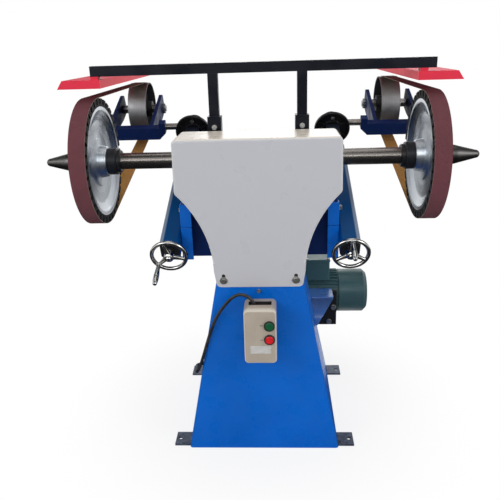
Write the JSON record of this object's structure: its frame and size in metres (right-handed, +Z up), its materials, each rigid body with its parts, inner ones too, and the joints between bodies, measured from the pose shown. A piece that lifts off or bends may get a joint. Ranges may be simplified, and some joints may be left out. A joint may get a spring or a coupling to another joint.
{
  "type": "abrasive belt grinder",
  "caption": "Double-ended belt grinder on a tapered pedestal, with contact wheels on a long spindle, rear idlers on sliding arms, handwheels and a foot-mounted motor.",
  "frame": {"origin": "centre of the four floor bolt holes, on the floor", "axes": "+X along the spindle, to the right as seen by the user; +Y to the rear; +Z up"},
  "size_m": [1.38, 1.1699, 1.221],
  "materials": {
    "blue_paint": "semi-gloss enamel on sheet steel",
    "navy_paint": "semi-gloss dark navy enamel",
    "white_paint": "glossy light grey-white enamel",
    "red_paint": "glossy red enamel",
    "black_paint": "satin black enamel",
    "motor_paint": "hammered grey-green enamel",
    "bearing_iron": "painted casting",
    "tracking_iron": "black casting",
    "pulley_iron": "turned grey iron",
    "spindle_steel": "dark turned steel, oiled",
    "bright_steel": "ground steel",
    "foot_steel": "dark plain steel",
    "bolt_steel": "zinc-plated steel",
    "wheel_aluminium": "turned aluminium",
    "wheel_rubber": "serrated black rubber",
    "belt_rubber": "plain black rubber",
    "abrasive_cloth": "maroon grit on tan cloth",
    "handwheel_chrome": "polished chrome",
    "box_plastic": "beige-grey moulded plastic",
    "green_plastic": "green moulded cap",
    "red_plastic": "red moulded cap",
    "lead_sheath": "matt black cable sheath",
    "gland_plastic": "black moulded plastic"
  },
  "bodies": {
    "frame": {"pedestal_front_panel": "blue_paint", "pedestal_rear_panel": "blue_paint", "pedestal_side_panels": "blue_paint", "pedestal_top_plate": "blue_paint", "floor_feet": "foot_steel", "head_shell": "blue_paint", "head_webs": "blue_paint", "head_top_plates": "blue_paint", "bearing_housings": "bearing_iron", "spindle_bearings": "bright_steel", "drive_belts": "belt_rubber", "front_cover": "white_paint", "guard_posts": "navy_paint", "guard_crossbar": "navy_paint", "motor_housing": "motor_paint", "fan_cowl": "motor_paint", "terminal_box": "motor_paint", "motor_plate": "black_paint", "motor_bracket": "blue_paint", "switch_box": "box_plastic", "motor_lead": "lead_sheath", "cable_glands": "gland_plastic", "frame_bolts": "bolt_steel", "abrasive_belt_left": "abrasive_cloth", "arm_sleeve_left": "blue_paint", "belt_guard_left": "red_paint", "abrasive_belt_right": "abrasive_cloth", "arm_sleeve_right": "blue_paint", "belt_guard_right": "red_paint"},
    "spindle": {"spindle": "spindle_steel", "spindle_pulley": "pulley_iron", "wheel_collars": "black_paint", "taper_ends": "bright_steel", "contact_wheel_left": "wheel_aluminium", "contact_wheel_right": "wheel_aluminium", "contact_tyre_left": "wheel_rubber", "contact_tyre_right": "wheel_rubber"},
    "rotor": {"motor_rotor": "bright_steel", "motor_pulley": "pulley_iron"},
    "slide_left": {"tension_slide_left": "navy_paint"},
    "tracking_left": {"tracking_head_left": "tracking_iron", "yoke_shaft_left": "bright_steel", "idler_yoke_left": "navy_paint", "idler_axle_left": "bright_steel"},
    "idler_left": {"idler_drum_left": "bright_steel"},
    "handwheel_left": {"handwheel_left": "handwheel_chrome", "tension_screw_left": "bright_steel"},
    "crank_left": {"crank_handle_left": "handwheel_chrome"},
    "slide_right": {"tension_slide_right": "navy_paint"},
    "tracking_right": {"tracking_head_right": "tracking_iron", "yoke_shaft_right": "bright_steel", "idler_yoke_right": "navy_paint", "idler_axle_right": "bright_steel"},
    "idler_right": {"idler_drum_right": "bright_steel"},
    "handwheel_right": {"handwheel_right": "handwheel_chrome", "tension_screw_right": "bright_steel"},
    "crank_right": {"crank_handle_right": "handwheel_chrome"},
    "start_button": {"start_button": "green_plastic"},
    "stop_button": {"stop_button": "red_plastic"}
  },
  "joints": [
    {"name": "spindle_spin", "type": "hinge", "parent": "frame", "child": "spindle", "pos_m": [0, -0.02, 0.926], "axis": [1, 0, 0], "continuous": true},
    {"name": "motor_spin", "type": "hinge", "parent": "frame", "child": "rotor", "pos_m": [0, 0.282, 0.334], "axis": [1, 0, 0], "continuous": true},
    {"name": "handwheel_left_turn", "type": "hinge", "parent": "frame", "child": "handwheel_left", "pos_m": [-0.27, -0.25, 0.682], "axis": [0, 0.9272, 0.3746], "range_deg": [-2880, 864]},
    {"name": "crank_left_spin", "type": "hinge", "parent": "handwheel_left", "child": "crank_left", "pos_m": [-0.30642, -0.23636, 0.64824], "axis": [0, 0.9272, 0.3746], "continuous": true},
    {"name": "tension_left_slide", "type": "slide", "parent": "frame", "child": "slide_left", "axis": [0, 0.9272, 0.3746], "range_m": [-0.04, 0.012], "deforming": ["abrasive_belt_left"]},
    {"name": "tracking_left_tilt", "type": "hinge", "parent": "slide_left", "child": "tracking_left", "pos_m": [-0.27, 0.46115, 0.96932], "axis": [0, 0.9272, 0.3746], "range_deg": [-2, 2]},
    {"name": "idler_left_spin", "type": "hinge", "parent": "tracking_left", "child": "idler_left", "pos_m": [-0.525, 0.70444, 1.01585], "axis": [1, 0, 0], "continuous": true},
    {"name": "handwheel_right_turn", "type": "hinge", "parent": "frame", "child": "handwheel_right", "pos_m": [0.27, -0.25, 0.682], "axis": [0, 0.9272, 0.3746], "range_deg": [-2880, 864]},
    {"name": "crank_right_spin", "type": "hinge", "parent": "handwheel_right", "child": "crank_right", "pos_m": [0.27, -0.26929, 0.72975], "axis": [0, 0.9272, 0.3746], "continuous": true},
    {"name": "tension_right_slide", "type": "slide", "parent": "frame", "child": "slide_right", "axis": [0, 0.9272, 0.3746], "range_m": [-0.04, 0.012], "deforming": ["abrasive_belt_right"]},
    {"name": "tracking_right_tilt", "type": "hinge", "parent": "slide_right", "child": "tracking_right", "pos_m": [0.27, 0.46115, 0.96932], "axis": [0, 0.9272, 0.3746], "range_deg": [-2, 2]},
    {"name": "idler_right_spin", "type": "hinge", "parent": "tracking_right", "child": "idler_right", "pos_m": [0.525, 0.70444, 1.01585], "axis": [1, 0, 0], "continuous": true},
    {"name": "start_press", "type": "slide", "parent": "frame", "child": "start_button", "axis": [0, 1, 0], "range_m": [0, 0.004], "stiffness_N_per_m": 300},
    {"name": "stop_press", "type": "slide", "parent": "frame", "child": "stop_button", "axis": [0, 1, 0], "range_m": [0, 0.004], "stiffness_N_per_m": 300}
  ],
  "couplings": [
    {"joint": "motor_spin", "follows": "spindle_spin", "ratio": 0.9},
    {"joint": "handwheel_left_turn", "follows": "tension_left_slide", "rad_per_m": 1256.6},
    {"joint": "idler_left_spin", "follows": "spindle_spin", "ratio": 1.8024},
    {"joint": "handwheel_right_turn", "follows": "tension_right_slide", "rad_per_m": 1256.6},
    {"joint": "idler_right_spin", "follows": "spindle_spin", "ratio": 1.8024}
  ]
}
